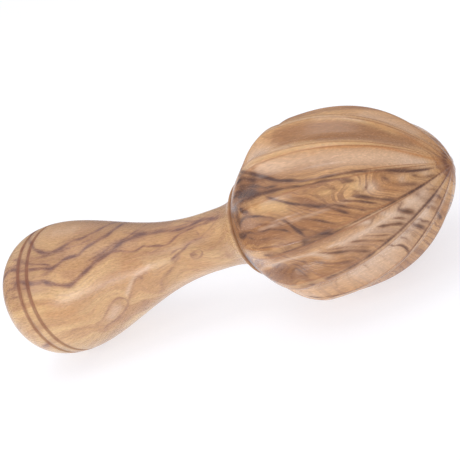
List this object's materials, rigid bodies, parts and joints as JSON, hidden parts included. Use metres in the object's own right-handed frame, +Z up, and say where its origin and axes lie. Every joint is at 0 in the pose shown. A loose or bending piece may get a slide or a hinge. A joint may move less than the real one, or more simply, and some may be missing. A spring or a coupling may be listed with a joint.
{
  "type": "citrus reamer",
  "caption": "Hand-held wooden citrus reamer with a bulbous grip, a slim neck ending in a thin lip, and a pointed fluted head that presses juice from halved fruit.",
  "frame": {"origin": "centre of the box's bottom face, on the surface that the reamer lies on", "axes": "+X along the length from the butt end towards the tip, +Z up from the surface, +Y to the side"},
  "size_m": [0.1648, 0.0538, 0.054],
  "materials": {
    "head_wood": "oiled satin",
    "handle_wood": "oiled satin"
  },
  "bodies": {
    "root": {"reamer_head": "head_wood", "handle": "handle_wood"}
  },
  "joints": []
}
